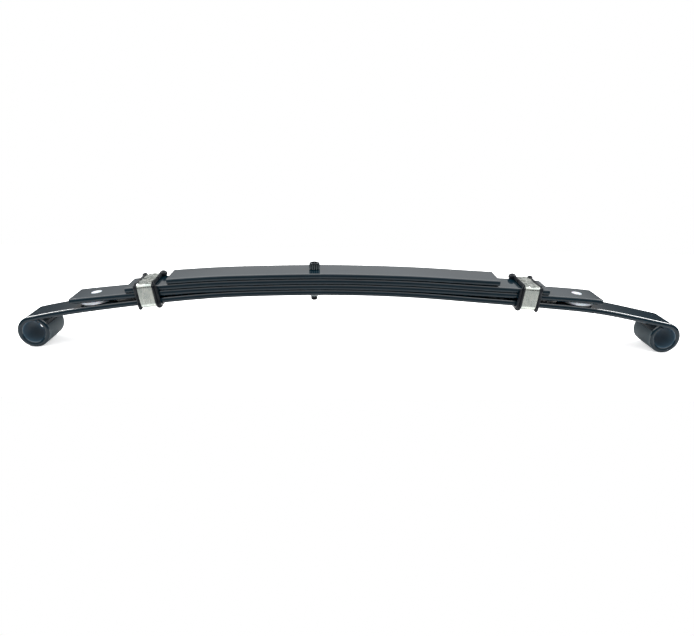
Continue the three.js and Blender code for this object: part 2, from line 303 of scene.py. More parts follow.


# %% [markdown]
# The leaves are dipped in gloss black enamel with a cold, blue cast. Dipped paint is never flat like
# glass: it has a faint orange peel, duller patches, and dust nibs that settled while it was wet. A
# mask finds each bore by its distance from the eye's axis and swaps in a matt coat in a lighter
# blue-grey. That lighter colour is painted light, standing in for the light seen inside the bore. The
# lower outside of the curl is matt too, and painted grey as a painted reflection of the bright floor
# below it. Along the rolled edges the paint draws together into a thicker, glossier bead, which is
# what picks out each leaf with a thin line of light.

# %% Gloss black leaf paint
paint = Finish("leaf_paint", (0.003, 0.010, 0.020), 0.08, ior=1.32)
spot = paint.add("SeparateXYZ", {"Vector": paint.place}).outputs
across = paint.calc("SUBTRACT", paint.calc("ABSOLUTE", spot["X"]), EYE_X)
above = paint.calc("SUBTRACT", spot["Z"], EYE_RADIUS)
from_axis = paint.distance(across, above)
SKIN = 0.35 * MM
bore = paint.calc("LESS_THAN", from_axis, BORE_RADIUS + SKIN)
outside = paint.calc("COMPARE", from_axis, EYE_RADIUS, SKIN)
curl = paint.calc("MULTIPLY", outside, paint.calc("LESS_THAN", above, 0.45 * EYE_RADIUS))
dull = paint.calc("MAXIMUM", bore, curl)
sideways = paint.calc("ABSOLUTE", spot["Y"])
bead = paint.calc("COMPARE", sideways, 20.65 * MM, 0.6 * MM)
cloud = paint.between(paint.noise(9, 3), 0.35, 0.65, 0, 1)
gloss = paint.mixed(cloud, (0.0015, 0.009, 0.015), (0.003, 0.012, 0.019))
streaks = paint.noise(42, 4, 0.6, paint.stretched((0.35, 1, 1)))
patches = paint.between(streaks, 0.35, 0.72, 0.05, 0.13)
peel = paint.bump(paint.noise(150, 2), 0.00003, 0.12)
nibs = paint.bump(paint.between(paint.noise(1500, 1, 0.4), 0.76, 0.82, 0, 1), 0.00003, 0.25, peel)
# painted light: the bores get a lighter blue-grey that stands in for the light seen inside them
gloss_and_painted_bore_light = paint.mixed(bore, gloss, (0.046, 0.086, 0.122))
paint.wear(
    # painted reflection: the lower outside of the curl is painted grey in place of the bright floor's
    # reflection
    Base_Color=paint.mixed(curl, gloss_and_painted_bore_light, (0.05, 0.068, 0.078)),
    Specular_IOR_Level=paint.add("Mix", {"Factor": dull, "A": 0.5, "B": 0.2}).outputs[0],
    Roughness=paint.add("Mix", {"Factor": dull, "A": patches, "B": 0.55}).outputs[0],
    Coat_Weight=paint.calc("MULTIPLY", bead, paint.calc("SUBTRACT", 1.0, dull)),
    Coat_IOR=1.75,
    Coat_Roughness=0.12,
    Normal=nibs,
)

# %% [markdown]
# The clips are zinc-plated strip. Plating is a satin metal with a faint yellow-green bloom, a rolled
# grain along the strip, and scratches from the hammer that folded it.

# %% Zinc plating
zinc = Finish("clip_zinc", (0.46, 0.49, 0.46), 0.3, 1.0)
bloom = zinc.between(zinc.noise(120, 3, 0.6), 0.4, 0.62, 0, 1)
grain = zinc.noise(900, 3, 0.6, zinc.stretched((1, 0.06, 0.06)))
zinc.wear(
    Base_Color=zinc.mixed(bloom, (0.42, 0.455, 0.43), (0.52, 0.54, 0.50)),
    Roughness=zinc.between(grain, 0.35, 0.65, 0.2, 0.3),
)
spangle = zinc.bump(zinc.noise(420, 2), 0.00004, 0.15)
zinc.wear(Normal=zinc.bump(grain, 0.000006, 0.15, spangle))

# %% [markdown]
# The liners are moulded from black rubber, a little shiny where it has been pulled over the edges.

# %% Moulded rubber
rubber = Finish("liner_rubber", (0.003, 0.005, 0.008), 0.36, ior=1.33)
bloom = rubber.noise(70, 4, 0.6)
dusty = rubber.between(bloom, 0.4, 0.7, 0, 1)
rubber.wear(
    Base_Color=rubber.mixed(dusty, (0.002, 0.004, 0.007), (0.009, 0.012, 0.016)),
    Roughness=rubber.between(bloom, 0.35, 0.7, 0.28, 0.46),
)
skin = rubber.bump(rubber.noise(2200, 3, 0.6), 0.00003, 0.5)
rubber.wear(Normal=rubber.bump(rubber.noise(260, 2), 0.00012, 0.4, skin))

# %% [markdown]
# The pads are natural nylon: an off-white, slightly waxy plastic that lets a little light in.

# %% White nylon
nylon = Finish("pad_nylon", (0.60, 0.635, 0.69), 0.38, ior=1.53)
nylon.wear(Subsurface_Weight=0.12, Subsurface_Scale=0.002)
smear = nylon.noise(160, 4, 0.6)
dirty = nylon.between(smear, 0.42, 0.72, 0, 1)
nylon.wear(
    Base_Color=nylon.mixed(dirty, (0.54, 0.565, 0.61), (0.42, 0.445, 0.485)),
    Roughness=nylon.between(smear, 0.3, 0.7, 0.3, 0.5),
    Normal=nylon.bump(nylon.noise(900, 2), 0.00003, 0.5),
)

# %% [markdown]
# The bolt and nut are black oxide: steel that has been blackened and oiled. The oxide rubs thin on
# the high spots, where bare metal starts to show, and on the crests of the head's knurl.

# %% Black oxide
oxide = Finish("bolt_steel", (0.010, 0.015, 0.018), 0.3, 0.35, 1.45)
rub = oxide.between(oxide.noise(380, 4, 0.65), 0.5, 0.72, 0, 1)
spot = oxide.add("SeparateXYZ", {"Vector": oxide.place}).outputs
beside = oxide.calc("SUBTRACT", spot["X"], BOLT_X)
from_bolt = oxide.distance(beside, spot["Y"])
crest = oxide.between(from_bolt, 6.1 * MM, 6.4 * MM, 0, 1)
dark = oxide.mixed(rub, (0.006, 0.010, 0.013), (0.035, 0.045, 0.05))
oxide.wear(
    Base_Color=oxide.mixed(crest, dark, (0.17, 0.20, 0.21)),
    Roughness=oxide.between(oxide.noise(240, 3), 0.3, 0.7, 0.22, 0.42),
    Normal=oxide.bump(oxide.noise(1400, 2), 0.00003, 0.5),
)
print("finishes:", [m.name for m in bpy.data.materials if m.use_nodes])


# %% [markdown]
# ## Geometry Nodes helpers
# Geometry Nodes suit whatever follows a rule: a bar swept along a curve, the ribs of a knurl, the
# turns of a thread. Each tree has named inputs. The result is turned into a plain mesh, because the
# finished object must not depend on a live modifier.

# %% Build a tree, and run one
class Tree:
    """A Geometry Nodes tree with named inputs, and short calls that add nodes to it."""

    KINDS = {float: "NodeSocketFloat", int: "NodeSocketInt", "material": "NodeSocketMaterial"}

    def __init__(self, name, **sizes):
        self.tree = bpy.data.node_groups.new(name, "GeometryNodeTree")
        face = self.tree.interface
        face.new_socket("Geometry", in_out="INPUT", socket_type="NodeSocketGeometry")
        for label, value in sizes.items():
            socket = face.new_socket(label, in_out="INPUT", socket_type=self.KINDS[type(value)])
            socket.default_value = value
        face.new_socket("Material", in_out="INPUT", socket_type=self.KINDS["material"])
        face.new_socket("Geometry", in_out="OUTPUT", socket_type="NodeSocketGeometry")
        self.inputs = self.tree.nodes.new("NodeGroupInput").outputs

    def add(self, kind, inputs=None, output=0, **settings):
        node = self.tree.nodes.new(kind)
        for key, value in settings.items():
            setattr(node, key, value)
        for key, value in (inputs or {}).items():
            if isinstance(value, bpy.types.NodeSocket):
                self.tree.links.new(value, node.inputs[key])
            else:
                node.inputs[key].default_value = value
        return node.outputs[output]

    def math(self, operation, a, b=0.0):
        return self.add("ShaderNodeMath", {0: a, 1: b}, operation=operation)

    def end(self, geometry):
        """Every tree ends in the same way: real geometry, shaded smooth, with its finish."""
        smooth = self.add("GeometryNodeSetShadeSmooth", {"Geometry": geometry})
        real = self.add("GeometryNodeRealizeInstances", {"Geometry": smooth})
        finish = {"Geometry": real, "Material": self.inputs["Material"]}
        done = self.add("GeometryNodeSetMaterial", finish)
        self.tree.links.new(done, self.tree.nodes.new("NodeGroupOutput").inputs[0])


def new_object(name, vertices=(), edges=(), faces=()):
    mesh = bpy.data.meshes.new(name)
    mesh.from_pydata([tuple(v) for v in vertices], edges, faces)
    obj = bpy.data.objects.new(name, mesh)
    scene.collection.objects.link(obj)
    return obj


def modifiers_applied(obj):
    """Turns an object with modifiers into a plain mesh, and takes the modifiers off."""
    bpy.context.view_layer.update()
    mesh = bpy.data.meshes.new_from_object(obj.evaluated_get(bpy.context.evaluated_depsgraph_get()))
    obj.modifiers.clear()
    obj.data = mesh
    mesh.name = obj.name
    return obj


def run_tree(obj, tree, material, **sizes):
    modifier = obj.modifiers.new("tree", "NODES")
    modifier.node_group = tree.tree
    for item in tree.tree.interface.items_tree:
        if item.in_out == "INPUT" and item.name in sizes:
            modifier[item.identifier] = sizes[item.name]
        if item.in_out == "INPUT" and item.name == "Material":
            modifier[item.identifier] = material
    return modifiers_applied(obj)


def outward(obj, sharp=35):
    """Merges doubles, points every face outwards, and marks the sharp edges."""
    bm = bmesh.new()
    bm.from_mesh(obj.data)
    bmesh.ops.remove_doubles(bm, verts=bm.verts, dist=1e-7)
    bmesh.ops.recalc_face_normals(bm, faces=bm.faces)
    if bm.calc_volume(signed=True) < 0:
        bmesh.ops.reverse_faces(bm, faces=bm.faces)
    open_edges = sum(not e.is_manifold for e in bm.edges)
    bm.to_mesh(obj.data)
    bm.free()
    obj.data.shade_smooth()
    obj.data.set_sharp_from_angle(angle=math.radians(sharp))
    if open_edges:
        print(f"  {obj.name} has {open_edges} open edges")
    return obj


# %% [markdown]
# ## The leaves
# Spring bar isn't a plain rectangle. Its two edges are rolled to a convex arc, and that arc is what
# gives every leaf in the stack its own line of light. The section is therefore two arcs joined by
# flats, drawn from the bar's width, its thickness and the arc's radius, and swept along the mid-line.

# %% A tree that sweeps spring bar along a line
bar = Tree("spring_bar", Width=BAR_WIDTH, Thickness=BAR_THICKNESS, EdgeRadius=3.9 * MM, EdgePoints=12)
width, thickness = bar.inputs["Width"], bar.inputs["Thickness"]
radius, count = bar.inputs["EdgeRadius"], bar.inputs["EdgePoints"]
index = bar.add("GeometryNodeInputIndex")
far_side = bar.math("GREATER_THAN", index, bar.math("SUBTRACT", count, 0.5))
step = bar.math("SUBTRACT", index, bar.math("MULTIPLY", far_side, count))
share = bar.math("DIVIDE", step, bar.math("SUBTRACT", count, 1.0))
widest = bar.math("ARCSINE", bar.math("DIVIDE", thickness, bar.math("MULTIPLY", radius, 2.0)))
angle = bar.math("MULTIPLY", widest, bar.math("SUBTRACT", bar.math("MULTIPLY", share, 2.0), 1.0))
sign = bar.math("SUBTRACT", 1.0, bar.math("MULTIPLY", far_side, 2.0))
half_width = bar.math("SUBTRACT", bar.math("DIVIDE", width, 2.0), radius)
out = bar.math("ADD", half_width, bar.math("MULTIPLY", radius, bar.math("COSINE", angle)))
up = bar.math("MULTIPLY", radius, bar.math("SINE", angle))
point = bar.add(
    "ShaderNodeCombineXYZ",
    {"X": bar.math("MULTIPLY", out, sign), "Y": bar.math("MULTIPLY", up, sign)},
)
around = bar.math("MULTIPLY", count, 2.0)
ring = bar.add("GeometryNodeCurvePrimitiveCircle", {"Resolution": around}, mode="RADIUS")
section = bar.add("GeometryNodeSetPosition", {"Geometry": ring, "Position": point})
line = bar.add("GeometryNodeMeshToCurve", {"Mesh": bar.inputs["Geometry"]})
level = bar.add("GeometryNodeSetCurveNormal", {"Curve": line, "Normal": (0, 1, 0)}, mode="FREE")
swept = bar.add(
    "GeometryNodeCurveToMesh",
    {"Curve": level, "Profile Curve": section, "Fill Caps": True},
)
bar.end(swept)


# %% [markdown]
# Each half leaf starts at the bolt. A plain leaf stops at a sheared tip. The main leaf runs on down
# its straight lead and round the mandrel, almost a full turn, until its end nearly meets itself.

# %% Mid-lines of the leaves
def plain_line(number, side):
    """The mid-line of half a leaf, from the bolt to its sheared tip."""
    tip = BOLT_X + side * REACH[number][0 if side < 0 else 1]
    lift = np.interp(tip, GRID, offsets[number]) + BAR_THICKNESS / 2
    m = np.interp(tip, GRID, slope)
    station = tip + lift * m / math.sqrt(1 + m * m)
    return on_leaf(number, np.linspace(BOLT_X, station, 150), BAR_THICKNESS / 2)


CURL_GAP = 1.0 * MM


def curl_sweep(radius):
    """How far the curl turns at a radius: its end stops short of the leaf's underside by CURL_GAP."""
    return 2 * math.pi - math.acos((BORE_RADIUS - CURL_GAP) / radius)


def eye_line(side):
    """The mid-line of half the main leaf, with its eye."""
    lead = side * (EYE_X + BORE_RADIUS * math.sin(LEAD_ANGLE))
    flat = on_leaf(1, np.linspace(BOLT_X, lead, 190), BAR_THICKNESS / 2)
    middle = BORE_RADIUS + BAR_THICKNESS / 2
    start = math.pi / 2 - LEAD_ANGLE
    angles = start - np.linspace(0, curl_sweep(middle), 90)[1:]
    x, z = EYE_X + middle * np.cos(angles), EYE_RADIUS + middle * np.sin(angles)
    return np.vstack([flat, np.stack([side * x, z], -1)])


lines = {(n, arm): plain_line(n, ARMS[arm]["side"]) for n in (2, 3, 4) for arm in ARMS}
lines.update({(1, arm): eye_line(ARMS[arm]["side"]) for arm in ARMS})
steps_along = np.linalg.norm(np.diff(lines[1, "long_arm"], axis=0), axis=1)
print("the longer half of the main leaf is", round(steps_along.sum() * 1000), "mm long")


# %% Cutting tools
def drill(name, place, radius, sides=64, depth=80 * MM):
    """A round cutter, square to the given place."""
    tool = new_object(name)
    bm = bmesh.new()
    size = {"radius1": radius, "radius2": radius, "depth": depth}
    bmesh.ops.create_cone(bm, cap_ends=True, segments=sides, matrix=place, **size)
    bm.to_mesh(tool.data)
    bm.free()
    return tool


def cut(obj, *tools):
    for tool in tools:
        modifier = obj.modifiers.new("cut", "BOOLEAN")
        modifier.operation = "DIFFERENCE"
        modifier.solver = "EXACT"
        modifier.object = tool
    modifiers_applied(obj)
    for tool in tools:
        bpy.data.objects.remove(tool)
    return obj


# %% Make the eight half leaves
NAMES = {1: "main_leaf", 2: "second_leaf", 3: "third_leaf", 4: "top_leaf"}
BOLT_HOLE = 4.3 * MM
BUTTON_HOLE = 6.5 * MM


def soften_edges(obj, width=0.7 * MM):
    """Rounds sheared edges, as tumbling and thick paint do."""
    bevel = obj.modifiers.new("edges", "BEVEL")
    bevel.width = width
    bevel.segments = 3
    bevel.limit_method = "ANGLE"
    bevel.angle_limit = math.radians(35)
    normals = obj.modifiers.new("normals", "WEIGHTED_NORMAL")
    normals.keep_sharp = True
    return modifiers_applied(obj)


def close_curl(obj, side):
    """Turns each point of the curl so that the end face lies along the leaf's underside."""
    sine, cosine = math.sin(LEAD_ANGLE), math.cos(LEAD_ANGLE)
    middle = BORE_RADIUS + BAR_THICKNESS / 2
    for vertex in obj.data.vertices:
        x, z = side * vertex.co.x - EYE_X, vertex.co.z - EYE_RADIUS
        above, beyond = x * sine + z * cosine, x * cosine - z * sine
        radius = math.hypot(x, z)
        if radius > EYE_RADIUS + MM or (beyond <= 0 and above > BORE_RADIUS - 0.2 * MM):
            continue
        angle = math.atan2(beyond, above) % (2 * math.pi) * curl_sweep(radius) / curl_sweep(middle)
        above, beyond = radius * math.cos(angle), radius * math.sin(angle)
        vertex.co.x = side * (EYE_X + above * sine + beyond * cosine)
        vertex.co.z = EYE_RADIUS + above * cosine - beyond * sine


def half_leaf(number, arm):
    path = lines[number, arm]
    vertices = [(x, 0, z) for x, z in path]
    edges = [(i, i + 1) for i in range(len(path) - 1)]
    obj = new_object(f"{NAMES[number]}_{arm}", vertices, edges)
    run_tree(obj, bar, paint.material)
    if number == 1:
        close_curl(obj, ARMS[arm]["side"])
    outward(obj)
    tools = [drill("bolt_drill", Matrix.Translation((BOLT_X, 0, seat[1])), BOLT_HOLE)]
    if number == 2:
        side = ARMS[arm]["side"]
        reach = PAD_REACH[0 if side < 0 else 1]
        tools.append(drill("pad_drill", leaf_place(2, BOLT_X + side * reach), BUTTON_HOLE))
    cut(obj, *tools)
    outward(obj)
    soften_edges(obj)
    return finish_piece(obj, arm, "leaf_paint", NAMES[number])


for number in NAMES:
    for arm in ARMS:
        half_leaf(number, arm)


# %% [markdown]
# ## The centre bolt and nut
# The bolt is a socket cap screw. Its head is knurled, so it is made as a turned core with a hexagon
# socket, and its ribs are one rib repeated round the head by a tree.

# %% Turned shapes
def turned(name, profile, place, steps=96):
    """A solid of revolution from (radius, height) points, with its axis along the place's Z."""
    rings = []
    vertices = []
    faces = []
    for r, z in profile:
        if r < 1e-9:
            rings.append([len(vertices)])
            vertices.append(place @ Vector((0, 0, z)))
            continue
        rings.append(list(range(len(vertices), len(vertices) + steps)))
        turn = [2 * math.pi * i / steps for i in range(steps)]
        vertices += [place @ Vector((r * math.cos(a), r * math.sin(a), z)) for a in turn]
    for low, high in zip(rings, rings[1:]):
        for i in range(steps):
            j = (i + 1) % steps
            quad = [low[i % len(low)], low[j % len(low)], high[j % len(high)], high[i % len(high)]]
            faces.append(tuple(dict.fromkeys(quad)))
    return outward(new_object(name, vertices, [], faces), 40)


def round_corner(r, z, radius, start, steps=5):
    """Points of a quarter circle about (r, z), from the angle start, in degrees, up by 90."""
    angles = [math.radians(start + 90 * i / steps) for i in range(steps + 1)]
    return [(r + radius * math.cos(a), z + radius * math.sin(a)) for a in angles]


# %% Bolt core, socket and shank
HEAD_RADIUS = 6.5 * MM
HEAD_HEIGHT = 8 * MM
RIB = 0.65 * MM
SHANK_RADIUS = 4 * MM
bolt_low, bolt_high = (Vector(corner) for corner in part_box("centre_bolt"))
nut_low, nut_high = (Vector(corner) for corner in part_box("centre_nut"))
head_top = bolt_high.z
head_seat = head_top - HEAD_HEIGHT
core = HEAD_RADIUS - RIB
edge = 0.9 * MM
bolt_axis = Matrix.Translation((BOLT_X, 0, 0))
root = SHANK_RADIUS - 0.45 * MM
profile = [(0, bolt_low.z), (SHANK_RADIUS - 1.1 * MM, bolt_low.z), (root, bolt_low.z + 0.8 * MM)]
profile += [(root, nut_low.z + 2 * MM), (SHANK_RADIUS, nut_low.z + 2.4 * MM)]
profile += [(SHANK_RADIUS, head_seat), (core - 0.3 * MM, head_seat), (core, head_seat + 0.3 * MM)]
profile += round_corner(core - edge, head_top - edge, edge, 0)
profile += [(4.1 * MM, head_top), (3.7 * MM, head_top - 0.3 * MM), (0, head_top - 0.3 * MM)]
bolt = turned("centre_bolt_core", profile, bolt_axis)
socket = drill("socket", Matrix.Translation((BOLT_X, 0, head_top)), 3.46 * MM, 6, 8 * MM)
bolt.data.materials.append(oxide.material)
outward(cut(bolt, socket), 40)
finish_piece(bolt, None, "bolt_steel", "centre_bolt")

# %% A tree that repeats one rib round the head
knurl = Tree("knurl", Ribs=16, Radius=core - 0.15 * MM, Height=HEAD_HEIGHT, RibRadius=0.8 * MM)
ring = knurl.add(
    "GeometryNodeMeshCircle",
    {"Vertices": knurl.inputs["Ribs"], "Radius": knurl.inputs["Radius"]},
)
rib = knurl.add(
    "GeometryNodeMeshCone",
    {
        "Vertices": 10,
        "Radius Top": knurl.math("MULTIPLY", knurl.inputs["RibRadius"], 0.7),
        "Radius Bottom": knurl.inputs["RibRadius"],
        "Depth": knurl.inputs["Height"],
    },
)
ribs = knurl.add("GeometryNodeInstanceOnPoints", {"Points": ring, "Instance": rib})
knurl.end(ribs)
rib_height = HEAD_HEIGHT - 1.7 * MM
head_ribs = run_tree(new_object("centre_bolt_knurl"), knurl, oxide.material, Height=rib_height)
head_ribs.data.transform(Matrix.Translation((BOLT_X, 0, head_seat + 0.5 * MM)))
outward(head_ribs)
finish_piece(head_ribs, None, "bolt_steel", "centre_bolt")

# %% [markdown]
# A screw thread is one ridge wound in a helix, so a tree winds a small triangle along a spiral. Only
# the stretch that shows below the nut is threaded.

# %% A tree that winds a thread
PITCH = 1.25 * MM
thread_length = nut_low.z - bolt_low.z - 0.9 * MM
thread = Tree(
    "thread",
    Radius=SHANK_RADIUS - 0.55 * MM,
    Length=thread_length,
    Turns=thread_length / PITCH,
    Ridge=0.62 * MM,
)
helix = thread.add(
    "GeometryNodeCurveSpiral",
    {
        "Resolution": 40,
        "Rotations": thread.inputs["Turns"],
        "Start Radius": thread.inputs["Radius"],
        "End Radius": thread.inputs["Radius"],
        "Height": thread.inputs["Length"],
    },
)
ridge = thread.add(
    "GeometryNodeCurvePrimitiveCircle",
    {"Resolution": 3, "Radius": thread.inputs["Ridge"]},
    mode="RADIUS",
)
wound = thread.add(
    "GeometryNodeCurveToMesh",
    {"Curve": helix, "Profile Curve": ridge, "Fill Caps": True},
)
thread.end(wound)
bolt_thread = run_tree(new_object("centre_bolt_thread"), thread, oxide.material)
bolt_thread.data.transform(Matrix.Translation((BOLT_X, 0, bolt_low.z + 0.85 * MM)))
outward(bolt_thread, 20)
finish_piece(bolt_thread, None, "bolt_steel", "centre_bolt")

# %% [markdown]
# The nut is a hexagon, and a turned blank trims its corners. It is chamfered most underneath.

# %% The nut, with its corners chamfered by a turned blank
across = 13 * MM
nut_height = nut_high.z - nut_low.z
middle = (nut_high.z + nut_low.z) / 2
nut_place = Matrix.Translation((BOLT_X, 0, middle))
nut = drill("centre_nut_hex", nut_place, across / math.sqrt(3), 6, nut_height)
blank = turned(
    "nut_blank",
    [
        (0, nut_low.z),
        (across / 2 - 1.1 * MM, nut_low.z),
        (across / 2 + 0.1 * MM, nut_low.z + 0.6 * MM),
        (across / 2 + 1.4 * MM, nut_low.z + 2.4 * MM),
        (across / 2 + 1.6 * MM, nut_high.z - 1.0 * MM),
        (across / 2 - 0.1 * MM, nut_high.z),
        (0, nut_high.z),
    ],
    bolt_axis,
)
modifier = nut.modifiers.new("chamfer", "BOOLEAN")
modifier.operation = "INTERSECT"
modifier.solver = "EXACT"
modifier.object = blank
modifiers_applied(nut)
bpy.data.objects.remove(blank)
cut(nut, drill("nut_drill", nut_place, BOLT_HOLE))
nut.data.materials.append(oxide.material)
soften_edges(outward(nut), 0.15 * MM)
finish_piece(nut, None, "bolt_steel", "centre_nut")


# %% [markdown]
# ## The tip pads
# A pad is a moulded nylon button. Its round head fills the hole in the second leaf, and its shallow
# dome sits between that leaf and the main leaf, so the two can slide without metal touching metal.

# %% Two nylon pads
PAD_RADIUS = 21 * MM
PAD_RIM = 3.4 * MM
PAD_DOME = 0.7 * MM
BUTTON_RADIUS = 6.2 * MM


def pad_profile():
    rim = 0.5 * MM
    top = -CLEARANCE
    low = top - PAD_RIM
    face = BAR_THICKNESS
    dome = [(PAD_RADIUS * s, low - PAD_DOME * (1 - s * s)) for s in np.linspace(0, 0.97, 14)]
    edge_low = round_corner(PAD_RADIUS - rim, low + rim, rim, -90)
    edge_high = round_corner(PAD_RADIUS - rim, top - rim, rim, 0)
    button = [(6.6 * MM, top), (BUTTON_RADIUS, top + 0.4 * MM)]
    head = round_corner(BUTTON_RADIUS - rim, face - rim, rim, 0)
    crown = [(4 * MM, face + 0.12 * MM), (0.9 * MM, face + 0.16 * MM), (0, face)]
    return dome + edge_low + edge_high + button + head + crown


for arm, facts in ARMS.items():
    side = facts["side"]
    place = leaf_place(2, BOLT_X + side * PAD_REACH[0 if side < 0 else 1])
    pad = turned(f"tip_pad_{arm}_moulding", pad_profile(), place)
    pad.data.materials.append(nylon.material)
    finish_piece(pad, arm, "pad_nylon", f"tip_pad_{arm}")


# %% [markdown]
# ## The clips
# A clip is a strip of zinc-plated steel folded round the leaves, over a rubber liner. The liner is a
# channel: a thin sleeve under the strip, with a thick rim at each side. Both are closed hoops with a
# gap at the top, so both are made the same way, as a section carried round a rounded rectangle.

# %% The path round the leaves
BAND_WIDTH = 17.3 * MM
BAND_THICKNESS = 1.6 * MM
BAND_CORNER = 3.3 * MM
LINER = 1.0 * MM
RIM_THICKNESS = {"outer": 3.4 * MM, "inner": 5.8 * MM}
SEAM = 1.4 * MM
LEAN_HEIGHT = 12 * MM
LEAN = 0.045  # the clips were driven on a little out of square


def stack_top(x):
    half = BAND_WIDTH / 2 + RIM_THICKNESS["inner"]
    return max(np.interp(x + s * half, GRID, offsets[3]) for s in (-1, 1)) + BAR_THICKNESS + CLEARANCE


def hoop_path(side, top, bottom, corner, gap, step=0.9 * MM):
    """Rows of (y, z, outward y, outward z) round a rounded rectangle, from the gap's near edge over
    the near side, the bottom and the far side to the gap's far edge."""
    centres = [(-side + corner, top - corner, 90), (-side + corner, bottom + corner, 180)]
    centres += [(side - corner, bottom + corner, 270), (side - corner, top - corner, 0)]
    path = [(-gap / 2, top, 0, 1)]
    for y, z, start in centres:
        steps = 10
        for i in range(steps + 1):
            a = math.radians(start + 90 * i / steps)
            out_y, out_z = math.cos(a), math.sin(a)
            path.append((y + corner * out_y, z + corner * out_z, out_y, out_z))
    path.append((gap / 2, top, 0, 1))
    dense = [path[0]]
    for a, b in zip(path, path[1:]):
        count = max(1, round(math.dist(a[:2], b[:2]) / step))
        for i in range(1, count + 1):
            dense.append(tuple(p + (q - p) * i / count for p, q in zip(a, b)))
    return np.array(dense)


def not_narrowed(spot, row):
    return 0.0


def hoop_mesh(name, path, section, place, outset, lean, narrow=not_narrowed):
    """Carries a closed section round the path. outset(point, row) gives how far out a section point
    is, narrow how far its side is drawn in, and lean how far the hoop tips for its height."""
    vertices = []
    count = len(section)
    for row in path:
        for spot in section:
            u = outset(spot, row)
            x = spot[0] - math.copysign(narrow(spot, row), spot[0])
            z = row[1] + row[3] * u
            vertices.append(place @ Vector((x + lean * (z - LEAN_HEIGHT), row[0] + row[2] * u, z)))
    faces = []
    for i in range(len(path) - 1):
        for j in range(count):
            k = (j + 1) % count
            faces.append((i * count + j, i * count + k, (i + 1) * count + k, (i + 1) * count + j))
    faces.append(tuple(range(count)))
    faces.append(tuple((len(path) - 1) * count + j for j in reversed(range(count))))
    return outward(new_object(name, vertices, [], faces), 45)


# %% [markdown]
# The strip was hammered flat over the leaves, so its top is dented, while its sides stay true. The
# dents are moved into the mesh itself, so that they catch the light.

# %% The two steel bands
def band_section():
    """(x, depth) points round the strip's thickness: depth is 0 outside and 1 inside."""
    half = BAND_WIDTH / 2
    r = 0.4 * MM
    outer = [(x, 0.0) for x in np.linspace(-half + r, half - r, 22)]
    inner = [(x, 1.0) for x in np.linspace(half - r, -half + r, 22)]
    right = [(half - r * 0.3, 0.08), (half, 0.25), (half, 0.75), (half - r * 0.3, 0.92)]
    left = [(-x, 1 - d) for x, d in right]
    return outer + right + inner + left


DENT, FINE_DENT, DEEPEST = 1.6 * MM, 0.55 * MM, -0.7 * MM
CROWN = 0.35 * MM  # how far the dented top stands up on the whole
SWELL = 0.12 * MM  # how far the strip wanders everywhere


def steel_band(arm):
    side = ARMS[arm]["side"]
    x = BOLT_X + side * CLIP_REACH[0 if side < 0 else 1]
    top = stack_top(x) + LINER + CLEARANCE
    half = BAR_WIDTH / 2 + CLEARANCE + LINER + CLEARANCE
    path = hoop_path(half, top, -2 * CLEARANCE - LINER, BAND_CORNER, SEAM)
    seed = Vector((3.1, 7.7 * side, 0.4))

    def outset(spot, row):
        y, z = row[0], row[1]
        over_top = max(0.0, min(1.0, (z - top + 1.2 * MM) / (1.2 * MM)))
        spread = min(1.0, max(0.0, (half - abs(y)) / (4 * MM)))
        where = Vector((spot[0] / (5.2 * MM), y / (5.6 * MM), z / (6 * MM)))
        dent = noise.noise(where + seed) - 0.25
        fine = noise.noise(where * 2.1 + seed)
        dented = over_top * spread * (DENT * dent + FINE_DENT * fine)
        swell = SWELL * noise.noise(where * 0.6 - seed)
        level = BAND_THICKNESS * (1 - spot[1]) + CROWN * over_top * spread
        return level + max(dented, DEEPEST) + swell

    name = f"clip_band_{arm}_strip"
    band = hoop_mesh(name, path, band_section(), leaf_place(1, x), outset, side * LEAN)
    band.data.materials.append(zinc.material)
    return finish_piece(band, arm, "clip_zinc", f"clip_band_{arm}")


for arm in ARMS:
    steel_band(arm)

# %% [markdown]
# The liner's rims stand proud of the strip. They swell at the corners, where the rubber bunches up:
# most at the far top corner, where each rim ends in an ear, and a little at the near lower corner.

# %% Section of the liner
def liner_section(side):
    """(x, kind, depth) points. kind 0 is the sleeve, 1 the outer rim and 2 the grooved inner rim."""
    half = BAND_WIDTH / 2 + CLEARANCE
    shapes = {
        1: [(0, 1.0), (0.1, 0.3), (0.32, 0), (0.68, 0), (0.9, 0.3), (1, 1.0)],
        2: [(0, 0.9), (0.05, 0.3), (0.14, 0), (0.3, 0), (0.38, 0.3), (0.44, 1.5)]
        + [(0.52, 1.7), (0.58, 0.8), (0.65, 0.35), (0.8, 0.3), (0.93, 0.7), (1, 1.5)],
    }
    points = []
    for kind, sign in ((1, side), (2, -side)):
        wall = RIM_THICKNESS["outer" if kind == 1 else "inner"]
        near, far = sign * half, sign * (half + wall)
        bulge = [(near + sign * share * wall, kind, depth * MM) for share, depth in shapes[kind]]
        foot = [(near, 0, LINER)] + bulge + [(far, 0, 0.8 * MM), (far - sign * 0.25 * MM, 0, 0.0)]
        points += foot if kind == 1 else foot[::-1]
    return points


# %% The two rubber liners
def bump_at(row, y, z, reach):
    """1 at a corner of the hoop, falling smoothly to 0 at the given reach."""
    t = max(0.0, 1 - math.dist((row[0], row[1]), (y, z)) / reach)
    return t * t * (3 - 2 * t)


def add_bead(liner, place, centre, radii):
    """Adds a round swelling, where the rubber bunches up at a corner, to the liner's mesh."""
    x, y, z = centre
    x += math.copysign(LEAN, place.translation.x - BOLT_X) * (z - LEAN_HEIGHT)
    turn = place @ Matrix.Translation((x, y, z)) @ Matrix.Diagonal((*radii, 1))
    bm = bmesh.new()
    bm.from_mesh(liner.data)
    bmesh.ops.create_uvsphere(bm, u_segments=32, v_segments=20, radius=1, matrix=turn)
    bm.to_mesh(liner.data)
    bm.free()
    liner.data.shade_smooth()


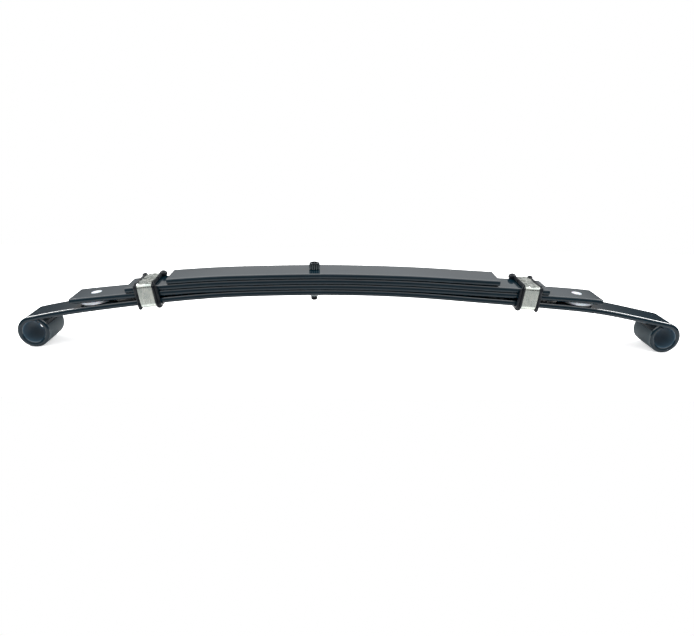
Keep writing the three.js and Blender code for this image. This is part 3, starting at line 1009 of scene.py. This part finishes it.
def rubber_liner(arm):
    side = ARMS[arm]["side"]
    x = BOLT_X + side * CLIP_REACH[0 if side < 0 else 1]
    top = stack_top(x)
    half = BAR_WIDTH / 2 + CLEARANCE
    path = hoop_path(half, top, -CLEARANCE, BAND_CORNER - LINER - CLEARANCE, SEAM + 0.6 * MM)
    over_band = LINER + CLEARANCE + BAND_THICKNESS

    def height(kind, row):
        near_top = bump_at(row, -half, top, 8 * MM)
        near_low = bump_at(row, -half, -CLEARANCE, 6 * MM)
        on_top = max(0.0, row[3])
        if kind == 2:
            rim = 1.0 * MM - 0.2 * MM * on_top
            lobes = 0.3 * MM * near_top + 1.0 * MM * near_low
        else:
            rim = 0.8 * MM - 0.3 * MM * on_top
            lobes = 0.9 * MM * near_top + 0.9 * MM * near_low
        return over_band + rim + lobes

    def outset(spot, row):
        return spot[2] if spot[1] == 0 else height(spot[1], row) - spot[2]

    def narrow(spot, row):
        """The inner rim is stretched thin over the top of the leaves."""
        if spot[0] * side >= 0:
            return 0.0
        beyond = abs(spot[0]) - BAND_WIDTH / 2 - CLEARANCE
        return 0.6 * max(0.0, beyond) * max(0.0, row[3]) ** 2

    place = leaf_place(1, x)
    name = f"clip_liner_{arm}_moulding"
    liner = hoop_mesh(name, path, liner_section(side), place, outset, side * LEAN, narrow)
    outer = side * (BAND_WIDTH / 2 + CLEARANCE + RIM_THICKNESS["outer"] / 2)
    inner = -side * (BAND_WIDTH / 2 + CLEARANCE + RIM_THICKNESS["inner"] / 2)
    low = -over_band + 0.6 * MM
    beads = [  # centre along, across and up, then radii in mm
        ((inner, half - 0.9 * MM, top + 1.7 * MM), (5.0, 4.5, 4.2)),
        ((outer, half - 0.6 * MM, top + 2.4 * MM), (3.5, 3.3, 2.7)),
        ((outer, -half - 1.2 * MM, top + 0.4 * MM), (2.3, 2.9, 3.2)),
        ((outer, -half - 0.8 * MM, low), (2.3, 2.9, 2.6)),
        ((inner, -half - 0.8 * MM, low), (3.3, 2.9, 2.6)),
    ]
    for centre, radii in beads:
        add_bead(liner, place, centre, [r * MM for r in radii])
    liner.data.materials.append(rubber.material)
    return finish_piece(liner, arm, "liner_rubber", f"clip_liner_{arm}")


for arm in ARMS:
    rubber_liner(arm)

# %% [markdown]
# ## The studio
# The spring stands on a plain pale light table, so its shadow is faint. Gloss black shows only what it
# reflects, so the light matters more than the paint: a bright sky behind whitens the flat tops, a dark
# horizon keeps the sides and the sloping ends black, and panels overhead draw lines along the edges.
# The table glows a little more for the camera than for the spring, so that it shows as plain white.

# %% Floor
FLOOR_GLOW = 0.25
EXTRA_GLOW = 0.35
FLOOR_BACK, FLOOR_FRONT, FLOOR_HALF = 0.5, -0.15, 1.6
corners = [
    (-FLOOR_HALF, FLOOR_FRONT, 0),
    (FLOOR_HALF, FLOOR_FRONT, 0),
    (FLOOR_HALF, FLOOR_BACK, 0),
    (-FLOOR_HALF, FLOOR_BACK, 0),
]
floor = new_object("floor", corners, [], [(0, 1, 2, 3)])
pale = Finish("pale_floor", (0.9, 0.9, 0.9), 0.7)
uneven = pale.between(pale.noise(2, 2), 0.3, 0.7, 0, 1)
camera_ray = pale.add("LightPath").outputs["Is Camera Ray"]
pale.wear(
    Base_Color=pale.mixed(uneven, (0.88, 0.88, 0.88), (0.9, 0.9, 0.9)),
    Emission_Color=(1, 1, 1, 1),
    Emission_Strength=pale.calc("MULTIPLY_ADD", camera_ray, EXTRA_GLOW, FLOOR_GLOW),
)
floor.data.materials.append(pale.material)

# %% [markdown]
# The sky is two ramps of brightness against height, one behind the spring and one in front of it,
# mixed over a narrow strip overhead. The camera itself sees plain white instead.

# %% Soft sky
SKY_STRENGTH = 4.0
BEHIND = [(0.0, 0.04), (0.07, 0.06), (0.15, 0.24), (0.24, 0.8), (0.32, 1.13), (0.45, 1.13)]
BEHIND += [(0.6, 0.4), (0.9, 0.4), (1.0, 2.0)]
FRONT = [(-0.04, 0.75), (0.02, 0.08), (0.4, 0.08), (0.5, 1.6), (0.8, 1.8), (0.9, 2.2), (1.0, 2.0)]
BLEND_STRIP = 0.2
world = bpy.data.worlds.new("studio")
scene.world = world
world.use_nodes = True
sky = world.node_tree
background = sky.nodes["Background"]
background.inputs["Strength"].default_value = SKY_STRENGTH
direction = sky.nodes.new("ShaderNodeTexCoord").outputs["Generated"]
split = sky.nodes.new("ShaderNodeSeparateXYZ")
sky.links.new(direction, split.inputs[0])


def sky_ramp(stops):
    """The sky's brightness against the sine of the height above the horizon, from -1 to 1."""
    ramp = sky.nodes.new("ShaderNodeValToRGB")
    halved = sky.nodes.new("ShaderNodeMapRange")
    halved.inputs["From Min"].default_value = -1
    sky.links.new(split.outputs["Z"], halved.inputs["Value"])
    sky.links.new(halved.outputs[0], ramp.inputs["Fac"])
    band = ramp.color_ramp
    for i, (height, level) in enumerate(stops):
        stop = band.elements[i] if i < 2 else band.elements.new((height + 1) / 2)
        stop.position = (height + 1) / 2
        stop.color = (*[level / SKY_STRENGTH] * 3, 1)
    return ramp.outputs["Color"]


def mixed_sky(factor, first, second):
    node = sky.nodes.new("ShaderNodeMix")
    node.data_type = "RGBA"
    for key, value in (("Factor_Float", factor), ("A_Color", first), ("B_Color", second)):
        socket = next(s for s in node.inputs if s.identifier == key)
        if isinstance(value, bpy.types.NodeSocket):
            sky.links.new(value, socket)
        else:
            socket.default_value = value
    return next(s for s in node.outputs if s.identifier == "Result_Color")


behind = sky_ramp(BEHIND)
front = sky_ramp(FRONT)
facing = sky.nodes.new("ShaderNodeMapRange")
facing.inputs["From Min"].default_value = -BLEND_STRIP
facing.inputs["From Max"].default_value = BLEND_STRIP
sky.links.new(split.outputs["Y"], facing.inputs["Value"])
seen = sky.nodes.new("ShaderNodeLightPath")
white = (1 / SKY_STRENGTH, 1 / SKY_STRENGTH, 1 / SKY_STRENGTH, 1)
both = mixed_sky(facing.outputs[0], front, behind)
sky.links.new(mixed_sky(seen.outputs["Is Camera Ray"], both, white), background.inputs["Color"])

# %% [markdown]
# Two soft panels, high up at either side, draw the bright line along the arms' edges.

# %% Panels
def panel(name, place, target, size, power):
    """A soft rectangular light that faces the target."""
    light = bpy.data.lights.new(name, "AREA")
    light.shape = "RECTANGLE"
    light.size, light.size_y = size
    light.energy = power
    obj = bpy.data.objects.new(name, light)
    obj.location = place
    obj.rotation_euler = (Vector(target) - Vector(place)).to_track_quat("-Z", "Y").to_euler()
    scene.collection.objects.link(obj)


for side in (-1, 1):
    panel("edge_panel", (side * 1.5, 0.15, 1.45), (side * 0.3, 0, 0.05), (0.9, 0.5), 34)

# %% [markdown]
# The camera looks down on the spring from the front, a little off square and a little tilted.

# %% Camera
LENS, SENSOR = 32.16, 36
CAMERA_PLACE = (-0.03837, -0.71708, 0.2865)
YAW, PITCH_DOWN, ROLL = math.radians(2.288), math.radians(19.433), math.radians(-1.408)
camera = bpy.data.objects.new("camera", bpy.data.cameras.new("camera"))
scene.collection.objects.link(camera)
camera.data.sensor_width = SENSOR
camera.data.lens = LENS
level_reach = math.cos(PITCH_DOWN)
forward = Vector((math.sin(YAW) * level_reach, math.cos(YAW) * level_reach, -math.sin(PITCH_DOWN)))
right = Vector((math.cos(YAW), -math.sin(YAW), 0))
down = forward.cross(right)
right_rolled = math.cos(ROLL) * right + math.sin(ROLL) * down
down_rolled = -math.sin(ROLL) * right + math.cos(ROLL) * down
turn = Matrix((right_rolled, -down_rolled, -forward)).transposed().to_4x4()
camera.matrix_world = Matrix.Translation(CAMERA_PLACE) @ turn
camera.data.clip_start = 0.01
scene.camera = camera
scene.view_settings.view_transform = "Standard"
